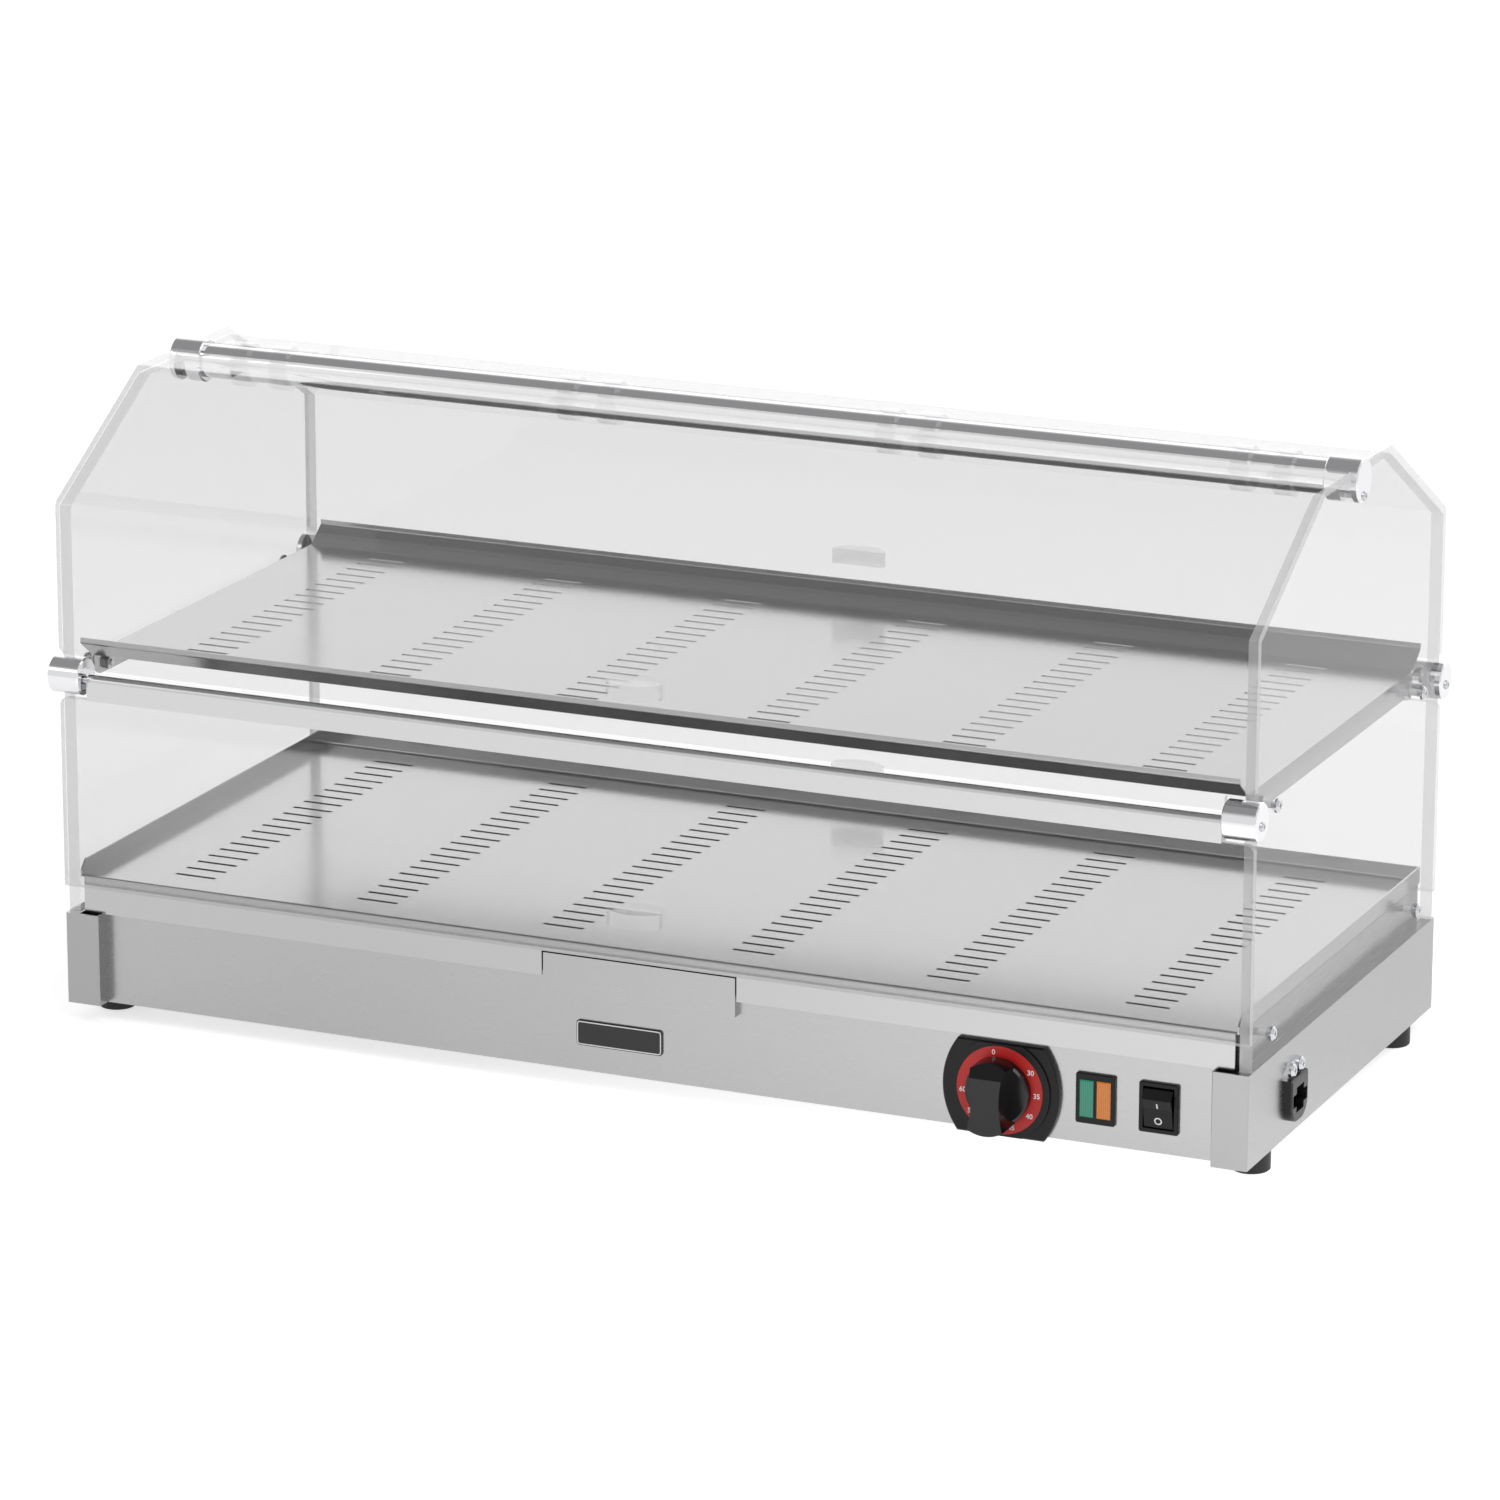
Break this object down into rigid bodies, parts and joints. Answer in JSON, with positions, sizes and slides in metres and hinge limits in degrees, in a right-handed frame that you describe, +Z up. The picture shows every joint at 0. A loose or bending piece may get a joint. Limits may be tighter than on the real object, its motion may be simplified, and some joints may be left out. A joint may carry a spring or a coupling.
{
  "type": "heated pastry display case",
  "caption": "Countertop heated display case with clear bent doors on both long sides, a slotted shelf over a slotted warming tray, and a stainless base with controls.",
  "frame": {"origin": "on the surface the feet stand on, under the middle of the case", "axes": "+Z up, the controls' side faces -Y, +X to the right seen from that side"},
  "size_m": [0.8106, 0.3785, 0.4128],
  "materials": {
    "stainless_sheet": "fine brushed",
    "clear_acrylic": "polished",
    "chrome_parts": "mirror",
    "hinge_profile": "bright anodised",
    "steel_fixings": "plated",
    "black_plastic": "satin",
    "pale_plastic": "moulded",
    "foot_rubber": "moulded",
    "green_lens": "ribbed, clear",
    "orange_lens": "ribbed, clear",
    "badge_plate": "gloss, bare"
  },
  "bodies": {
    "case": {"base_left_side": "stainless_sheet", "base_right_side": "stainless_sheet", "base_front_panel": "stainless_sheet", "base_rear_panel": "stainless_sheet", "base_bottom_plate": "stainless_sheet", "lower_tray": "stainless_sheet", "upper_shelf": "stainless_sheet", "drawer_runners": "stainless_sheet", "heater_brackets": "stainless_sheet", "left_side_pane": "clear_acrylic", "right_side_pane": "clear_acrylic", "top_tube": "chrome_parts", "top_cap_left": "chrome_parts", "top_cap_right": "chrome_parts", "rail_cap_front_left": "chrome_parts", "rail_cap_front_right": "chrome_parts", "rail_cap_rear_left": "chrome_parts", "rail_cap_rear_right": "chrome_parts", "front_rail_rod": "steel_fixings", "rear_rail_rod": "steel_fixings", "cap_screws": "steel_fixings", "side_pane_screws": "steel_fixings", "side_pane_nuts": "steel_fixings", "shelf_bolts": "steel_fixings", "shelf_bolt_nuts": "steel_fixings", "inlet_screws": "steel_fixings", "inlet_clamp": "steel_fixings", "heating_elements_left": "steel_fixings", "heating_elements_right": "steel_fixings", "thermostat_bulb": "steel_fixings", "dial_plate": "black_plastic", "lamp_housing": "black_plastic", "switch_housing": "black_plastic", "inlet_body": "black_plastic", "thermostat_body": "pale_plastic", "terminal_block": "pale_plastic", "foot_front_left": "foot_rubber", "foot_front_right": "foot_rubber", "foot_rear_left": "foot_rubber", "foot_rear_right": "foot_rubber", "green_lens": "green_lens", "orange_lens": "orange_lens", "badge_plate": "badge_plate"},
    "upper_front_door": {"upper_front_door": "clear_acrylic", "upper_front_pull": "clear_acrylic", "upper_front_hinge_straps": "clear_acrylic"},
    "upper_rear_door": {"upper_rear_door": "clear_acrylic", "upper_rear_pull": "clear_acrylic", "upper_rear_hinge_straps": "clear_acrylic"},
    "lower_front_door": {"lower_front_door": "clear_acrylic", "lower_front_pull": "clear_acrylic", "lower_front_hinge_profile": "hinge_profile"},
    "lower_rear_door": {"lower_rear_door": "clear_acrylic", "lower_rear_pull": "clear_acrylic", "lower_rear_hinge_profile": "hinge_profile"},
    "thermostat_knob": {"control_knob": "black_plastic", "thermostat_spindle": "steel_fixings"},
    "switch_rocker": {"switch_rocker": "black_plastic"},
    "water_drawer": {"drawer_front": "stainless_sheet", "drawer_pan": "stainless_sheet"}
  },
  "joints": [
    {"name": "upper_front_door_hinge", "type": "hinge", "parent": "case", "child": "upper_front_door", "pos_m": [0, 0, 0.3987], "axis": [-1, 0, 0], "range_deg": [0, 55]},
    {"name": "upper_rear_door_hinge", "type": "hinge", "parent": "case", "child": "upper_rear_door", "pos_m": [0, 0, 0.3987], "axis": [1, 0, 0], "range_deg": [0, 55]},
    {"name": "lower_front_door_hinge", "type": "hinge", "parent": "case", "child": "lower_front_door", "pos_m": [0, -0.1707, 0.2277], "axis": [-1, 0, 0], "range_deg": [0, 80]},
    {"name": "lower_rear_door_hinge", "type": "hinge", "parent": "case", "child": "lower_rear_door", "pos_m": [0, 0.1707, 0.2277], "axis": [1, 0, 0], "range_deg": [0, 80]},
    {"name": "thermostat_turn", "type": "hinge", "parent": "case", "child": "thermostat_knob", "pos_m": [0.239, -0.1627, 0.0405], "axis": [0, 1, 0], "range_deg": [0, 264]},
    {"name": "switch_rock", "type": "hinge", "parent": "case", "child": "switch_rocker", "pos_m": [0.3402, -0.1597, 0.042], "axis": [-1, 0, 0], "range_deg": [0, 14]},
    {"name": "water_drawer_slide", "type": "slide", "parent": "case", "child": "water_drawer", "axis": [0, -1, 0], "range_m": [0, 0.15]}
  ]
}
